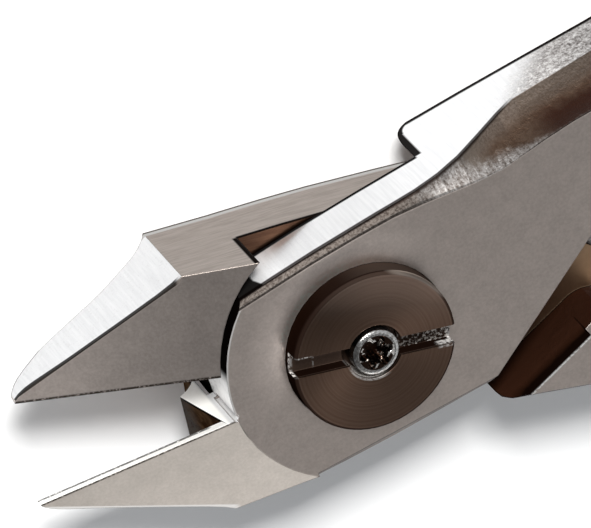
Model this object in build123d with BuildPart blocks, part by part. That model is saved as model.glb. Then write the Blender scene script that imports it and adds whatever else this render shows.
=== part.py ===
from build123d import *
import os
from math import cos, sin, radians, tan, sqrt

os.makedirs("parts", exist_ok=True)

# ---------------------------------------------------------------- sizes (mm)
# Frame: origin where the pivot axis meets the joint's back face, +Z along the
# pivot towards the screw head, +X along the handles, jaws towards -X.
# Each half is drawn as it lies when the jaws are shut, and its planes are
# turned by half the opening, so the model stands open.
THICK = 5.8            # full thickness of the joint, the jaws' root and the tangs
MID = THICK / 2        # lap plane
LAP_GAP = 0.02         # each lap face stays this far from the lap plane
OPEN_HALF = 9.7        # each half's turn from shut to open, degrees
R_NOSE = 7.26          # round nose of each lap plate about the pivot
R_SHOULDER = 7.6       # hollow shoulder that the nose turns in
JAW_TIP = 17.3         # tip, from the pivot
EDGE_CLEAR = 0.02      # each cutting edge and heel, from the line where they meet
EDGE_FALL = 12.12      # slope of the jaw's face down towards the tip, degrees
FACE_FALL = 8.62       # slope of the jaw's face down towards its outer side, degrees
EDGE_RISE = 0.472      # height of the edge line over the front face, 6 mm before the pivot
HEEL_X = 7.78          # heel facet's front end at the front face
HEEL_SLANT = 12.6      # the facet's front end leans towards the tip going down, degrees
LAND_DEPTH = 0.55      # honed land under the cutting edge
LAND_ANGLE = 8
BEVEL_ANGLE = 38

HEAD_R = 4.2           # pivot screw
HEAD_PROUD = 1.1
HEAD_SUNK = 0.6
SEAT_R = 4.235
JOURNAL_R = 2.7
JOURNAL_CLEAR = 0.03
THREAD_R = 2.25
SLOT_WIDTH = 1.0
SLOT_DEPTH = 0.75
SLOT_ANGLE = -10.4
LOCK_R = 1.2           # lock screw in the pivot screw
LOCK_SEAT_R = 1.42

TANG_Z0, TANG_Z1 = 0.95, 4.85   # tang inside the grip
LEAF_Z0, LEAF_Z1 = 1.1, 4.7     # return spring's width
LEAF_T = 0.45
GRIP_ZC = 2.9

A_F = OPEN_HALF        # front half: lower jaw, upper handle
A_B = -OPEN_HALF       # back half: upper jaw, lower handle


# ---------------------------------------------------------------- helpers
def turn(a, x, y, z=0.0):
    """A vector of the shut frame, turned to where the half stands."""
    c, s = cos(radians(a)), sin(radians(a))
    return (c * x - s * y, s * x + c * y, z)


def level(a, h):
    """The half's own XY plane at height h."""
    return Plane(origin=(0, 0, h), x_dir=turn(a, 1, 0), z_dir=(0, 0, 1))


def side(s):
    """Outline of the head's side in the shut frame, s = +1 or -1."""
    return [(-8.94, s * 5.30), (-5.6, s * 5.48), (-2.8, s * 5.68), (-0.5, s * 5.8), (3.0, s * 5.88),
            (6.2, s * 5.9)]


# the jaw's outer edge from the tip to its corner
JAW = [(-17.26, 0.16), (-17.08, 0.37), (-16.16, 1.0), (-15.16, 1.54), (-14.15, 2.1), (-13.14, 2.68),
       (-12.13, 3.27), (-11.12, 3.86), (-10.11, 4.46), (-9.35, 4.96), (-8.94, 5.30)]

# the tang's outer and inner edges, shut frame, for the half whose handle is at +Y
TANG_OUT = [(6.2, 5.9), (11.0, 5.92), (16.0, 5.86), (20.0, 5.9), (25.0, 6.65), (31.0, 8.1), (40.0, 9.8),
            (52.0, 11.3), (64.0, 12.0), (76.0, 11.8), (87.0, 10.8)]
TANG_IN = [(87.0, 7.8), (76.0, 8.9), (64.0, 9.0), (52.0, 8.1), (40.0, 6.3), (31.0, 4.3), (25.5, 2.55),
           (21.9, 1.62)]

# grip: station x, centre y (shut frame), half width, half height
GRIP = [(27.0, 5.05, 3.85, 4.1), (31.0, 5.9, 4.3, 4.55), (38.0, 7.65, 4.7, 4.75), (48.0, 9.25, 4.9, 4.8),
        (60.0, 10.35, 5.0, 4.8), (72.0, 10.6, 4.95, 4.8), (84.0, 9.75, 4.7, 4.75), (92.0, 8.75, 4.25, 4.5),
        (95.6, 8.25, 3.3, 3.7)]


def rise(x, y_abs):
    return EDGE_RISE - tan(radians(EDGE_FALL)) * (-x - 6.0) - tan(radians(FACE_FALL)) * y_abs


def face_plane(a, s):
    """The jaw's sloping front face, s = side of the jaw in the shut frame."""
    n = (-tan(radians(EDGE_FALL)), s * tan(radians(FACE_FALL)), 1.0)
    return Plane(origin=turn(a, -6.0, 0.0, THICK + EDGE_RISE), x_dir=turn(a, 1, 0, tan(radians(EDGE_FALL))),
                 z_dir=turn(a, *n))


def cross_plane(a, x, y, s):
    """Upright plane across the half at x, its own x along s*Y, its own y up."""
    return Plane(origin=turn(a, x, y, 0), x_dir=turn(a, 0, s), z_dir=turn(a, s, 0))


def long_plane(a, y):
    """Upright plane along the half, its own x along +X, its own y up."""
    return Plane(origin=turn(a, 0, y, 0), x_dir=turn(a, 1, 0), z_dir=turn(a, 0, -1))


def out_y(x):
    pts = [(-9.0, 5.3)] + side(1)[1:] + TANG_OUT[1:]
    for (x0, y0), (x1, y1) in zip(pts, pts[1:]):
        if x0 <= x <= x1:
            return y0 + (y1 - y0) * (x - x0) / (x1 - x0)
    return pts[-1][1]


# upper front bevel of the front half: x, face edge y, foot depth, foot inset
BEVEL_F = [(-5.6, 5.20, 0.30, 0.03), (-3.3, 5.31, 0.30, 0.04), (-1.0, 5.42, 0.30, 0.05), (1.5, 5.45, 0.30, 0.06),
           (3.6, 5.40, 0.32, 0.07), (5.2, 5.22, 0.36, 0.06), (6.6, 5.00, 0.55, 0.0), (7.9, 4.80, 0.95, 0.0),
           (9.4, 4.68, 1.70, 0.0), (10.8, 4.80, 2.45, 0.0), (11.9, 4.92, 2.95, 0.0), (13.6, 5.02, 3.05, 0.0),
           (16.5, 5.00, 3.25, 0.0), (19.5, 4.95, 3.35, 0.0), (23.0, 5.30, 3.3, 0.0), (26.0, 5.9, 3.0, 0.0)]


# lower side of the back half beside its ear
BACK_SIDE = [(2.0, 5.85), (4.6, 5.80), (6.2, 5.54), (7.3, 5.33), (8.0, 5.42), (9.6, 5.55), (11.8, 5.7), (16.0, 5.86)]


def nose_corner(s):
    """Where the round nose meets the head's side."""
    x, y = -4.68, 5.55
    k = R_NOSE / sqrt(x * x + y * y)
    return (x * k, s * y * k)


# ================================================================ the two halves
def build_half(a, s, flip):
    """One forging.  a: its turn; s: the side its jaw is on (-1 lower, +1 upper);
    flip: False when its lap plate is at the front, True at the back."""
    h = -s                                   # side of the handle
    ear = 6.55 if flip else 6.35             # where the ear beside the other lap plate starts
    cut_lo, cut_hi = (MID - LAP_GAP, THICK + 3) if flip else (-3.0, MID + LAP_GAP)
    c1 = nose_corner(h)
    with BuildPart() as half:
        # jaw block, full thickness and a little more, then its sloping face
        with BuildSketch(level(a, 0)):
            with BuildLine():
                Polyline((-R_NOSE, s * EDGE_CLEAR), (-JAW_TIP, s * EDGE_CLEAR), (-17.26, s * 0.16))
                Spline(*[(x, s * y) for x, y in JAW])
                Polyline((-8.94, s * 5.30), (-5.6, s * 5.48), (-4.68, s * 5.55),)
                ThreePointArc((-4.68, s * 5.55), (-R_NOSE * cos(radians(24)), s * R_NOSE * sin(radians(24))),
                              (-R_NOSE, s * EDGE_CLEAR))
            make_face()
        extrude(amount=THICK + 0.8)
        with BuildSketch(face_plane(a, s)):
            Rectangle(80, 80)
        extrude(amount=6, mode=Mode.SUBTRACT)
        # honed land and bevel under the cutting edge, up to the heel
        z_heel = THICK + rise(-HEEL_X, 0.0)
        y1 = EDGE_CLEAR + LAND_DEPTH * tan(radians(LAND_ANGLE))
        y2 = y1 + (9 - LAND_DEPTH) * tan(radians(BEVEL_ANGLE))
        lean = radians(HEEL_SLANT)
        k = cos(lean) - tan(radians(EDGE_FALL)) * sin(lean)      # depth below the edge per length of the slanted line
        with BuildSketch(Plane(origin=turn(a, -HEEL_X, 0, z_heel), x_dir=turn(a, 0, s),
                               z_dir=turn(a, s * cos(lean), 0, -s * sin(lean)))):
            with BuildLine():
                Polyline((-1, 3), (EDGE_CLEAR - 0.001, 3), (EDGE_CLEAR - 0.001, 0), (y1, -LAND_DEPTH / k),
                         (y2, -9 / k), (-1, -9 / k), close=True)
            make_face()
        extrude(amount=12, dir=turn(a, -1, 0, -tan(radians(EDGE_FALL))), mode=Mode.SUBTRACT)
        # relief ground under the jaw, rising towards the tip and towards the cutting edge
        with BuildSketch(long_plane(a, s * 5.3)):
            with BuildLine():
                Polyline((-8.94, -0.01), (-8.94, -4), (-20.5, -4), (-20.5, 2.8), (-18.47, 1.65))
                Spline((-18.47, 1.65), (-17.63, 1.36), (-16.17, 1.02), (-14.82, 0.95), (-13.57, 0.965),
                       (-12.33, 0.975), (-10.86, 0.77), (-9.83, 0.58), (-9.25, 0.30), (-8.94, -0.01))
            make_face()
        extrude(amount=6.2, both=True, dir=turn(a, 0.226, -s, 0.25), mode=Mode.SUBTRACT)
        # lap plate, jaw root and tang
        with BuildSketch(level(a, 0)):
            with BuildLine():
                Polyline((-R_NOSE, s * EDGE_CLEAR), (-R_NOSE, 0))
                ThreePointArc((-R_NOSE, 0), (-R_NOSE * cos(radians(24)), h * R_NOSE * sin(radians(24))), c1)
                Polyline(c1, (-2.8, h * 5.68), (-0.5, h * 5.8), (3.0, h * 5.88), (6.2, h * 5.9))
                Spline(*[(x, h * y) for x, y in TANG_OUT])
                Polyline((TANG_OUT[-1][0], h * TANG_OUT[-1][1]), (TANG_IN[0][0], h * TANG_IN[0][1]))
                Spline(*[(x, h * y) for x, y in TANG_IN])
                Polyline((21.9, h * 1.62), (16.7, h * 1.6), (4.85, s * 5.9), (3.0, s * 5.88), (-0.5, s * 5.8),
                         (-2.8, s * 5.68), (-4.68, s * 5.55))
                ThreePointArc((-4.68, s * 5.55), (-R_NOSE * cos(radians(24)), s * R_NOSE * sin(radians(24))),
                              (-R_NOSE, s * EDGE_CLEAR))
            make_face()
        extrude(amount=THICK)
        # pocket for the other half's lap plate: round shoulder by the jaw, slanted wall by the tang
        with BuildSketch(level(a, cut_lo)) as pocket:
            Circle(R_SHOULDER)
            with BuildLine():
                Polyline((-2.0, h * 9), (ear, h * 9), (ear, h * 5.9), (ear + 5.0, h * 2.15))
                ThreePointArc((ear + 5.0, h * 2.15), (ear + 5.52, h * 1.78), (ear + 6.1, h * 1.6))
                Polyline((ear + 6.1, h * 1.6), (17.2, h * 1.6), (17.2, s * 9), (-4.0, s * 9), (-2.0, 0), (-2.0, h * 9))
            make_face()
            # nothing is taken beyond the shoulder's end on the jaw's side
            with BuildLine():
                Polyline((-4.9, s * 5.56), (-1.0, s * 12), (-12, s * 12), (-12, s * 5.9), close=True)
            make_face(mode=Mode.SUBTRACT)
        extrude(amount=cut_hi - cut_lo, mode=Mode.SUBTRACT)
        # the ear's end is rounded off towards its outer face
        zo, zs = (THICK, -1) if flip else (0.0, 1)
        d = turn(a, 0.8, -h * 0.6)               # along the ear's end wall, inwards
        n = turn(a, 0.6, h * 0.8)                # into the ear
        o = turn(a, ear, h * 5.9)
        with BuildSketch(Plane(origin=(o[0] - 2 * d[0], o[1] - 2 * d[1], zo), x_dir=n, z_dir=d)) as round_off:
            # local y runs along z_dir x x_dir, which is up or down with h
            up = zs * h
            with BuildLine():
                Spline((-0.001, up * 1.5), (0.10, up * 0.62), (0.32, up * 0.17), (0.56, -up * 0.001))
                Polyline((0.56, -up * 0.001), (0.56, -up * 1.0), (-1.5, -up * 1.0), (-1.5, up * 1.5), (-0.001, up * 1.5))
            make_face()
        extrude(amount=8.2, mode=Mode.SUBTRACT)
        # tang thins before it goes into the grip
        for z0, z1, z2 in ((-1.0, 0.0, TANG_Z0), (THICK + 1.0, THICK, TANG_Z1)):
            with BuildSketch(long_plane(a, 0)):
                with BuildLine():
                    Polyline((20.5, z0), (20.5, z1), (24.6, z2), (95, z2), (95, z0), close=True)
                make_face()
            extrude(amount=20, both=True, mode=Mode.SUBTRACT)
    return half


# ---------------------------------------------------------------- front half
with BuildPart() as front_half:
    add(build_half(A_F, -1, False).part)
    # bevel along the upper front edge, growing into a flute beside the tang
    for x, ye, dep, inset in BEVEL_F:
        yw = out_y(x) - inset
        ym = (ye + yw) / 2 - (0.0 if dep < 0.5 else min(0.42, 0.16 * dep))
        zm = THICK - dep * (0.5 if dep < 0.5 else 0.52)
        with BuildSketch(cross_plane(A_F, x, 0, 1)):
            with BuildLine():
                Spline((ye, THICK), (ym, zm), (yw, THICK - dep))
                Polyline((yw, THICK - dep), (yw + 3.0, THICK - dep), (yw + 3.0, THICK + 2.0), (ye, THICK + 2.0),
                         (ye, THICK))
            make_face()
    loft(ruled=True, mode=Mode.SUBTRACT)
    # narrow chamfer along the lower front edge of the plate
    with BuildSketch(cross_plane(A_F, -4.75, 0, -1)):
        with BuildLine():
            Polyline((5.24, THICK + 0.05), (5.24, THICK), (5.56, THICK - 0.32), (8, THICK - 0.32), (8, THICK + 0.05),
                     close=True)
        make_face()
    extrude(amount=-10.6, dir=turn(A_F, -1, 0.040), mode=Mode.SUBTRACT)
    # relief notch where the nose meets the cutting edge
    with BuildSketch(level(A_F, MID + 0.5)):
        with Locations((-R_NOSE - 0.02, 0.02)):
            Circle(0.17)
    extrude(amount=THICK, mode=Mode.SUBTRACT)
    # seat and bore for the pivot screw
    with BuildSketch(level(A_F, THICK - HEAD_SUNK - 0.02)):
        Circle(SEAT_R)
    extrude(amount=3, mode=Mode.SUBTRACT)
    with BuildSketch(level(A_F, 0)):
        Circle(JOURNAL_R + JOURNAL_CLEAR)
    extrude(amount=THICK + 1, mode=Mode.SUBTRACT)
    # rivet hole for the return spring
    with BuildSketch(Plane(origin=turn(A_F, 19.2, 0, GRIP_ZC), x_dir=turn(A_F, 1, 0), z_dir=turn(A_F, 0, 1))):
        Circle(0.9)
    extrude(amount=4.2, mode=Mode.SUBTRACT)

# ---------------------------------------------------------------- back half
with BuildPart() as back_half:
    add(build_half(A_B, 1, True).part)
    # the side is ground back a little where the ear starts
    with BuildSketch(level(A_B, -1)):
        with BuildLine():
            Spline(*[(x, -y) for x, y in BACK_SIDE])
            Polyline((16.0, -5.86), (16.0, -9.0), (2.0, -9.0), (2.0, -5.85))
        make_face()
    extrude(amount=THICK + 2, mode=Mode.SUBTRACT)
    # bevel along the lower front edge of the tang
    for x, ye, yw in ((4.5, 5.45, 5.81), (7.3, 4.98, 5.31), (8.0, 5.03, 5.40), (9.6, 5.12, 5.53), (11.8, 5.28, 5.68),
                      (16.0, 5.36, 5.84), (20.0, 5.38, 5.88), (25.5, 6.1, 6.7)):
        with BuildSketch(cross_plane(A_B, x, 0, -1)):
            with BuildLine():
                Polyline((ye, THICK), ((ye + yw) / 2 + 0.06, THICK - 0.36), (yw, THICK - 0.85), (yw + 3, THICK - 0.85),
                         (yw + 3, THICK + 2), (ye, THICK + 2), close=True)
            make_face()
    loft(ruled=True, mode=Mode.SUBTRACT)
    # threaded bore, countersunk at the back
    with BuildSketch(level(A_B, -1)):
        Circle(THREAD_R + 0.01)
    extrude(amount=THICK + 2, mode=Mode.SUBTRACT)
    with BuildSketch(level(A_B, 0)):
        Circle(THREAD_R + 0.35)
    extrude(amount=0.36, taper=44, mode=Mode.SUBTRACT)
    # rivet hole for the return spring
    with BuildSketch(Plane(origin=turn(A_B, 19.2, 0, GRIP_ZC), x_dir=turn(A_B, 1, 0), z_dir=turn(A_B, 0, -1))):
        Circle(0.9)
    extrude(amount=4.2, mode=Mode.SUBTRACT)

# ---------------------------------------------------------------- pivot screw
with BuildPart() as pivot_screw:
    with BuildSketch(Plane.XY.offset(THICK - HEAD_SUNK)):
        Circle(HEAD_R)
    extrude(amount=HEAD_SUNK + HEAD_PROUD)
    chamfer(pivot_screw.edges().filter_by(GeomType.CIRCLE).sort_by(Axis.Z)[-1], 0.10)
    with BuildSketch(Plane.XY.offset(MID + LAP_GAP)):
        Circle(JOURNAL_R)
    extrude(amount=THICK - HEAD_SUNK - MID)
    with BuildSketch(Plane.XY.offset(0.12)):
        Circle(THREAD_R)
    extrude(amount=MID)
    chamfer(pivot_screw.edges().filter_by(GeomType.CIRCLE).sort_by(Axis.Z)[0], 0.25)
    # driver slot
    with BuildSketch(Plane.XY.offset(THICK + HEAD_PROUD - SLOT_DEPTH)):
        with Locations(Rotation(0, 0, SLOT_ANGLE)):
            Rectangle(2 * HEAD_R + 2, SLOT_WIDTH)
    extrude(amount=3, mode=Mode.SUBTRACT)
    # seat of the lock screw and its tapped hole
    with BuildSketch(Plane.XY.offset(THICK + HEAD_PROUD - 0.9)):
        Circle(LOCK_SEAT_R)
    extrude(amount=3, mode=Mode.SUBTRACT)
    with BuildSketch(Plane.XY.offset(0.8)):
        Circle(0.91)
    extrude(amount=THICK + 2, mode=Mode.SUBTRACT)

# ---------------------------------------------------------------- lock screw
with BuildPart() as lock_screw:
    with BuildSketch(Plane.XY.offset(THICK + HEAD_PROUD - 0.88)):
        Circle(LOCK_R)
    extrude(amount=1.0)
    fillet(lock_screw.edges().filter_by(GeomType.CIRCLE).sort_by(Axis.Z)[-1], 0.12)
    with BuildSketch(Plane.XY.offset(1.0)):
        Circle(0.9)
    extrude(amount=THICK + HEAD_PROUD - 0.88 - 1.0 + 0.1)
    # six-lobed socket
    with BuildSketch(Plane.XY.offset(THICK + HEAD_PROUD - 0.75)):
        Circle(0.62)
        with PolarLocations(0.66, 6):
            Circle(0.21)
    extrude(amount=3, mode=Mode.SUBTRACT)


# ---------------------------------------------------------------- return springs
# line of the front half's leaf where the tool stands open, and its mirror image
LEAF_BASE = [(16.9, 1.355), (21.4, 1.355)]
LEAF_WORLD = [(25.2, 4.62), (28.9, 3.98), (32.7, 2.52), (36.2, 0.50), (37.6, 0.30), (39.2, 0.72)]


def leaf_points(a, h):
    p0 = [turn(a, x, h * y)[:2] for x, y in LEAF_BASE]
    return p0, [(x, h * y) for x, y in LEAF_WORLD]


def build_leaf(a, h):
    base, rest = leaf_points(a, h)
    with BuildPart() as leaf:
        with BuildSketch(Plane.XY.offset(LEAF_Z0)):
            with BuildLine():
                Line(base[0], base[1])
                Spline(*([base[1]] + rest), tangents=[turn(a, 1, 0)[:2], (0.9, h * 0.43)])
            trace(line_width=LEAF_T)
        extrude(amount=LEAF_Z1 - LEAF_Z0)
        with BuildSketch(Plane(origin=turn(a, 19.2, 0, GRIP_ZC), x_dir=turn(a, 1, 0), z_dir=turn(a, 0, h))):
            Circle(0.92)
        extrude(amount=2.5, mode=Mode.SUBTRACT)
    return leaf


with BuildPart() as front_return_spring:
    add(build_leaf(A_F, 1).part)

with BuildPart() as back_return_spring:
    add(build_leaf(A_B, -1).part)


def build_rivet(a, h):
    """Domed rivet that holds the leaf on the tang's inner face."""
    with BuildPart() as rivet:
        with BuildSketch(Plane(origin=turn(a, 19.2, h * 1.0, GRIP_ZC), x_dir=turn(a, 1, 0), z_dir=turn(a, 0, h))):
            Circle(0.9)
        extrude(amount=3.1)
        with BuildSketch(Plane(origin=turn(a, 19.2, h * 1.12, GRIP_ZC), x_dir=turn(a, 1, 0), z_dir=turn(a, 0, -h))):
            Circle(1.45)
        extrude(amount=0.55, taper=32)
    return rivet


with BuildPart() as front_spring_rivet:
    add(build_rivet(A_F, 1).part)

with BuildPart() as back_spring_rivet:
    add(build_rivet(A_B, -1).part)


# ---------------------------------------------------------------- grips
def grip_section(a, h, i, da, db):
    x, y, wa, wb = GRIP[i]
    j, k = max(i - 1, 0), min(i + 1, len(GRIP) - 1)
    dx, dy = GRIP[k][0] - GRIP[j][0], GRIP[k][1] - GRIP[j][1]
    n = sqrt(dx * dx + dy * dy)
    t = turn(a, dx / n, h * dy / n)
    pl = Plane(origin=turn(a, x, h * y, GRIP_ZC), x_dir=(-t[1], t[0], 0), z_dir=t)
    return pl, 2 * (wa + da), 2 * (wb + db)


def build_grip_core(a, h, half):
    """Hard sleeve on the tang, with a collar at its front."""
    with BuildPart() as core:
        for i in range(0, 8):
            pl, w, t = grip_section(a, h, i, -1.0, -1.3)
            with BuildSketch(pl):
                RectangleRounded(w, t, 0.34 * w)
        loft()
        # collar
        x, y, wa, wb = GRIP[0]
        t = turn(a, 0.961, h * 0.276)
        pl = Plane(origin=turn(a, x - 3.1, h * (y - 0.86), GRIP_ZC), x_dir=(-t[1], t[0], 0), z_dir=t)
        with BuildSketch(pl):
            RectangleRounded(6.3, 7.6, 2.6)
        with BuildSketch(pl.offset(1.5)):
            RectangleRounded(7.0, 8.2, 2.9)
        with BuildSketch(pl.offset(3.3)):
            RectangleRounded(7.0, 8.2, 2.9)
        loft()
        add(half.part, mode=Mode.SUBTRACT)
    return core


def build_grip_cover(a, h, core):
    """Soft outer skin, flat underneath."""
    with BuildPart() as cover:
        for i in range(0, len(GRIP)):
            pl, w, t = grip_section(a, h, i, 0, 0)
            with BuildSketch(pl):
                RectangleRounded(w, t, 0.40 * w)
        loft()
        for i in range(0, 8):
            pl, w, t = grip_section(a, h, i, -1.0, -1.3)
            with BuildSketch(pl):
                RectangleRounded(w, t, 0.34 * w)
        loft(mode=Mode.SUBTRACT)
        add(core.part, mode=Mode.SUBTRACT)
    return cover


with BuildPart() as front_grip_core:
    add(build_grip_core(A_F, 1, front_half).part)

with BuildPart() as back_grip_core:
    add(build_grip_core(A_B, -1, back_half).part)

with BuildPart() as front_grip_cover:
    add(build_grip_cover(A_F, 1, front_grip_core).part)

with BuildPart() as back_grip_cover:
    add(build_grip_cover(A_B, -1, back_grip_core).part)

# ---------------------------------------------------------------- export
front_half.part.label = "front_half"
export_step(front_half.part, "parts/front_half.step")
back_half.part.label = "back_half"
export_step(back_half.part, "parts/back_half.step")
pivot_screw.part.label = "pivot_screw"
export_step(pivot_screw.part, "parts/pivot_screw.step")
lock_screw.part.label = "lock_screw"
export_step(lock_screw.part, "parts/lock_screw.step")
front_return_spring.part.label = "front_return_spring"
export_step(front_return_spring.part, "parts/front_return_spring.step")
back_return_spring.part.label = "back_return_spring"
export_step(back_return_spring.part, "parts/back_return_spring.step")
front_spring_rivet.part.label = "front_spring_rivet"
export_step(front_spring_rivet.part, "parts/front_spring_rivet.step")
back_spring_rivet.part.label = "back_spring_rivet"
export_step(back_spring_rivet.part, "parts/back_spring_rivet.step")
front_grip_core.part.label = "front_grip_core"
export_step(front_grip_core.part, "parts/front_grip_core.step")
back_grip_core.part.label = "back_grip_core"
export_step(back_grip_core.part, "parts/back_grip_core.step")
front_grip_cover.part.label = "front_grip_cover"
export_step(front_grip_cover.part, "parts/front_grip_cover.step")
back_grip_cover.part.label = "back_grip_cover"
export_step(back_grip_cover.part, "parts/back_grip_cover.step")
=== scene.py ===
import math

import bmesh
import bpy
from mathutils import Matrix, Vector


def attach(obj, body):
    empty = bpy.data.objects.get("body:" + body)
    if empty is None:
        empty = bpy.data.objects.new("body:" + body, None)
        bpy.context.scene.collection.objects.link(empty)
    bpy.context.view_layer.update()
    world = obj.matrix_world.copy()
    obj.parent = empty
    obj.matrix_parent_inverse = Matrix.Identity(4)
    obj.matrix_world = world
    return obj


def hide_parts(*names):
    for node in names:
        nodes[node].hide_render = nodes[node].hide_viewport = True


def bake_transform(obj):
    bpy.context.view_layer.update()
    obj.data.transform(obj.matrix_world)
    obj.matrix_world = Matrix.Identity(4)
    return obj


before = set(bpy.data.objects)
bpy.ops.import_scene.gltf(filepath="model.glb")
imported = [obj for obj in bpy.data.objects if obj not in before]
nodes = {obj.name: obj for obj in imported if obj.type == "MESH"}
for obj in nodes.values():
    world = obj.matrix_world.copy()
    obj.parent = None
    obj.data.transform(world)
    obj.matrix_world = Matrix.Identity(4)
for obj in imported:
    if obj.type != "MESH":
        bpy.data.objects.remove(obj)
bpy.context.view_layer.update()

MM = 0.001
OPEN = math.radians(9.7)          # each half's turn from shut to open
FLOOR_Z = -0.00192                # the grips lie on it
THICK = 5.8                       # joint, in mm

# ------------------------------------------------------------------ camera
RIGHT = Vector((0.8987, -0.1890, 0.3957)).normalized()
BACK = Vector((-0.2480, 0.5250, 0.8141)).normalized()
UP = BACK.cross(RIGHT).normalized()
RIGHT = UP.cross(BACK).normalized()
target = Vector((-1.70, 3.73, 2.88)) * MM
cam_data = bpy.data.cameras.new("camera")
cam = bpy.data.objects.new("camera", cam_data)
bpy.context.scene.collection.objects.link(cam)
cam_data.sensor_width = 36.0
cam_data.lens = 509.7
cam_data.clip_start, cam_data.clip_end = 0.01, 5.0
cam.matrix_world = Matrix((
    (RIGHT.x, UP.x, BACK.x, target.x + 0.4 * BACK.x),
    (RIGHT.y, UP.y, BACK.y, target.y + 0.4 * BACK.y),
    (RIGHT.z, UP.z, BACK.z, target.z + 0.4 * BACK.z),
    (0, 0, 0, 1)))
bpy.context.scene.camera = cam
bpy.context.scene.view_settings.view_transform = "Standard"
bpy.context.scene.view_settings.look = "None"


# ------------------------------------------------------------------ material nets
class Net:
    """A material's node tree, written as expressions."""

    def __init__(self, name):
        self.m = bpy.data.materials.new(name)
        self.m.use_nodes = True
        self.t = self.m.node_tree
        self.t.nodes.clear()
        self.out = self.t.nodes.new("ShaderNodeOutputMaterial")
        self.b = self.t.nodes.new("ShaderNodeBsdfPrincipled")
        self.t.links.new(self.b.outputs[0], self.out.inputs["Surface"])
        self.tc = self.t.nodes.new("ShaderNodeTexCoord")

    def put(self, sock, v):
        if isinstance(v, bpy.types.NodeSocket):
            self.t.links.new(v, sock)
        elif isinstance(v, (tuple, list)) and len(v) == 3 and sock.type == "RGBA":
            sock.default_value = (*v, 1.0)
        else:
            sock.default_value = v

    def new(self, kind, ins=(), **props):
        n = self.t.nodes.new(kind)
        for k, v in props.items():
            setattr(n, k, v)
        for k, v in dict(ins).items():
            self.put(n.inputs[k], v)
        return n

    def f(self, op, a, b=0.0, c=0.0, clamp=False):
        n = self.new("ShaderNodeMath", operation=op, use_clamp=clamp)
        for i, v in enumerate((a, b, c)):
            self.put(n.inputs[i], v)
        return n.outputs[0]

    def mul(self, *v):
        r = v[0]
        for x in v[1:]:
            r = self.f("MULTIPLY", r, x)
        return r

    def add(self, *v):
        r = v[0]
        for x in v[1:]:
            r = self.f("ADD", r, x)
        return r

    def inv(self, v):
        return self.f("SUBTRACT", 1.0, v)

    def step(self, x, e0, e1):
        n = self.new("ShaderNodeMapRange", interpolation_type="SMOOTHSTEP", clamp=True)
        self.put(n.inputs["Value"], x)
        self.put(n.inputs["From Min"], min(e0, e1))
        self.put(n.inputs["From Max"], max(e0, e1))
        self.put(n.inputs["To Min"], 0.0 if e0 < e1 else 1.0)
        self.put(n.inputs["To Max"], 1.0 if e0 < e1 else 0.0)
        return n.outputs["Result"]

    def lerp(self, x, a, b, lo=0.0, hi=1.0):
        n = self.new("ShaderNodeMapRange", clamp=True)
        self.put(n.inputs["Value"], x)
        self.put(n.inputs["From Min"], lo)
        self.put(n.inputs["From Max"], hi)
        self.put(n.inputs["To Min"], a)
        self.put(n.inputs["To Max"], b)
        return n.outputs["Result"]

    def mix(self, k, a, b, how="MIX"):
        n = self.new("ShaderNodeMix", data_type="RGBA", blend_type=how, clamp_factor=True)
        self.put(n.inputs[0], k)
        self.put(n.inputs[6], a)
        self.put(n.inputs[7], b)
        return n.outputs[2]

    def scale(self, colour, v):
        """The colour made v times as bright."""
        n = self.new("ShaderNodeVectorMath", operation="SCALE")
        self.put(n.inputs[0], colour)
        self.put(n.inputs["Scale"], v)
        return n.outputs[0]

    def map(self, v, rot=(0, 0, 0), scale=(1, 1, 1), loc=(0, 0, 0), kind="POINT"):
        n = self.new("ShaderNodeMapping", vector_type=kind)
        self.put(n.inputs["Vector"], v)
        n.inputs["Rotation"].default_value = rot
        n.inputs["Scale"].default_value = scale
        if kind == "POINT":
            n.inputs["Location"].default_value = loc
        return n.outputs[0]

    def xyz(self, v):
        n = self.new("ShaderNodeSeparateXYZ")
        self.put(n.inputs[0], v)
        return n.outputs[0], n.outputs[1], n.outputs[2]

    def dot(self, a, b):
        n = self.new("ShaderNodeVectorMath", operation="DOT_PRODUCT")
        self.put(n.inputs[0], a)
        self.put(n.inputs[1], b)
        return n.outputs["Value"]

    def noise(self, v, scale=1.0, detail=2.0, rough=0.5, dist=0.0):
        n = self.new("ShaderNodeTexNoise", {"Vector": v, "Scale": scale, "Detail": detail, "Roughness": rough,
                                            "Distortion": dist})
        return n.outputs["Fac"] if "Fac" in n.outputs else n.outputs[0]

    def cells(self, v, scale=1.0, feature="F1", rnd=1.0):
        n = self.new("ShaderNodeTexVoronoi", {"Vector": v, "Scale": scale, "Randomness": rnd}, feature=feature)
        return n.outputs["Distance"]

    def ramp(self, x, stops):
        n = self.new("ShaderNodeValToRGB")
        self.put(n.inputs[0], x)
        e = n.color_ramp.elements
        while len(e) < len(stops):
            e.new(0.5)
        for k, (pos, col) in zip(e, stops):
            k.position = pos
            k.color = (*col, 1.0) if isinstance(col, tuple) else (col, col, col, 1.0)
        return n.outputs[0]

    def bump(self, height, dist, strength=1.0, normal=None):
        n = self.new("ShaderNodeBump", {"Height": height, "Distance": dist, "Strength": strength})
        if normal is not None:
            self.put(n.inputs["Normal"], normal)
        return n.outputs[0]

    def rounded(self, radius_mm):
        """Normal with the edges rounded off, and how close a point is to an edge, 0 to 1."""
        b = self.new("ShaderNodeBevel", {"Radius": radius_mm * MM}, samples=6)
        g = self.new("ShaderNodeNewGeometry")
        near = self.step(self.dot(b.outputs[0], g.outputs["Normal"]), 0.995, 0.86)
        return b.outputs[0], near

    def done(self, obj):
        obj.data.materials.clear()
        obj.data.materials.append(self.m)
        return self.m


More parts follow.
